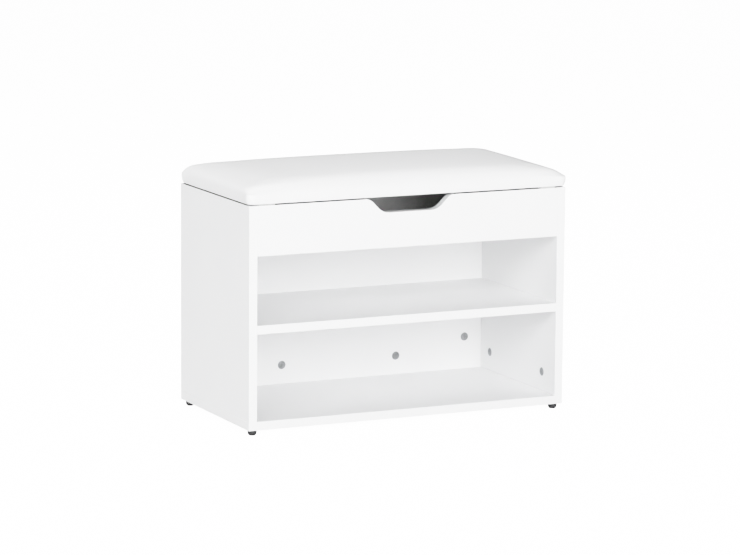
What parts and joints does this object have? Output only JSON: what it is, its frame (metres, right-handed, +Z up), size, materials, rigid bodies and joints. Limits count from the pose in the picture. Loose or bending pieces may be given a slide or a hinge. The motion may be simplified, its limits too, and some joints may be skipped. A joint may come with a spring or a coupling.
{
  "type": "entryway bench",
  "caption": "Shoe bench of white faced board, with open bays under a padded lift-up seat that hides a shallow compartment, on small round feet.",
  "frame": {"origin": "on the floor under the middle of the bench", "axes": "+X to the right of somebody facing the bench, -Y towards them, +Z up"},
  "size_m": [0.6, 0.3, 0.44],
  "materials": {
    "white_board": "satin white melamine-faced chipboard, 15 mm",
    "zinc_cam": "die-cast zinc, satin",
    "zinc_plated_bolt": "zinc-plated steel",
    "beech_dowel": "fluted beech",
    "black_foot": "black moulded plastic",
    "bright_steel_nail": "bright steel nail",
    "white_pad": "white felt-faced rubber",
    "nickel_hinge": "nickel-plated steel",
    "plated_screw": "zinc-plated steel",
    "stay_steel": "zinc-plated pressed steel",
    "stay_rivet": "plated steel",
    "seat_chipboard": "bare chipboard",
    "white_foam": "polyurethane foam",
    "white_leathercloth": "white coated leathercloth, fine grain",
    "black_felt": "black spunbond cloth",
    "staple_wire": "galvanised staple wire"
  },
  "bodies": {
    "carcass": {"back_cam_bolts": "zinc_plated_bolt", "back_cam_locks": "zinc_cam", "back_dowels": "beech_dowel", "back_panel": "white_board", "bottom_panel": "white_board", "compartment_floor": "white_board", "floor_cam_bolts": "zinc_plated_bolt", "floor_cam_locks": "zinc_cam", "floor_dowels": "beech_dowel", "foot_front_left": "black_foot", "foot_front_right": "black_foot", "foot_nails": "bright_steel_nail", "foot_rear_left": "black_foot", "foot_rear_right": "black_foot", "front_cam_bolts": "zinc_plated_bolt", "front_cam_locks": "zinc_cam", "front_dowels": "beech_dowel", "front_panel": "white_board", "hinge_carcass_screws": "plated_screw", "hinge_fixed_leaf_left": "nickel_hinge", "hinge_fixed_leaf_right": "nickel_hinge", "hinge_pin_left": "nickel_hinge", "hinge_pin_right": "nickel_hinge", "left_side_panel": "white_board", "lid_pads": "white_pad", "right_side_panel": "white_board", "shelf": "white_board", "shelf_cam_bolts": "zinc_plated_bolt", "shelf_cam_locks": "zinc_cam", "shelf_dowels": "beech_dowel", "side_cam_bolts": "zinc_plated_bolt", "side_cam_locks": "zinc_cam", "side_dowels": "beech_dowel", "stay_friction_screw_left": "stay_rivet", "stay_friction_screw_right": "stay_rivet", "stay_plate_left": "stay_steel", "stay_plate_right": "stay_steel", "stay_plate_screws": "plated_screw"},
    "lid": {"seat_board": "seat_chipboard", "seat_foam": "white_foam", "seat_cover": "white_leathercloth", "seat_dust_cover": "black_felt", "seat_staples": "staple_wire", "hinge_moving_leaf_left": "nickel_hinge", "hinge_moving_leaf_right": "nickel_hinge", "hinge_seat_screws": "plated_screw", "stay_seat_bracket_left": "stay_steel", "stay_seat_bracket_right": "stay_steel", "stay_bracket_screws": "plated_screw", "stay_seat_rivet_left": "stay_rivet", "stay_seat_rivet_right": "stay_rivet"},
    "stay_arm_left": {"stay_arm_left": "stay_steel", "stay_elbow_rivet_left": "stay_rivet"},
    "stay_arm_right": {"stay_arm_right": "stay_steel", "stay_elbow_rivet_right": "stay_rivet"},
    "stay_link_left": {"stay_link_left": "stay_steel"},
    "stay_link_right": {"stay_link_right": "stay_steel"}
  },
  "joints": [
    {"name": "lid_hinge", "type": "hinge", "parent": "carcass", "child": "lid", "pos_m": [0, 0.14725, 0.395], "axis": [-1, 0, 0], "range_deg": [0, 80]},
    {"name": "stay_pivot_left", "type": "hinge", "parent": "carcass", "child": "stay_arm_left", "pos_m": [-0.2777, 0.11225, 0.36], "axis": [-1, 0, 0], "range_deg": [0, 80]},
    {"name": "stay_elbow_left", "type": "hinge", "parent": "stay_arm_left", "child": "stay_link_left", "pos_m": [-0.2754, 0.00225, 0.351], "axis": [-1, 0, 0], "range_deg": [-80, 0]},
    {"name": "stay_pivot_right", "type": "hinge", "parent": "carcass", "child": "stay_arm_right", "pos_m": [0.2777, 0.11225, 0.36], "axis": [-1, 0, 0], "range_deg": [0, 80]},
    {"name": "stay_elbow_right", "type": "hinge", "parent": "stay_arm_right", "child": "stay_link_right", "pos_m": [0.2754, 0.00225, 0.351], "axis": [-1, 0, 0], "range_deg": [-80, 0]}
  ],
  "couplings": [
    {"joint": "stay_pivot_left", "follows": "lid_hinge", "ratio": 1},
    {"joint": "stay_elbow_left", "follows": "lid_hinge", "ratio": -1},
    {"joint": "stay_pivot_right", "follows": "lid_hinge", "ratio": 1},
    {"joint": "stay_elbow_right", "follows": "lid_hinge", "ratio": -1}
  ]
}
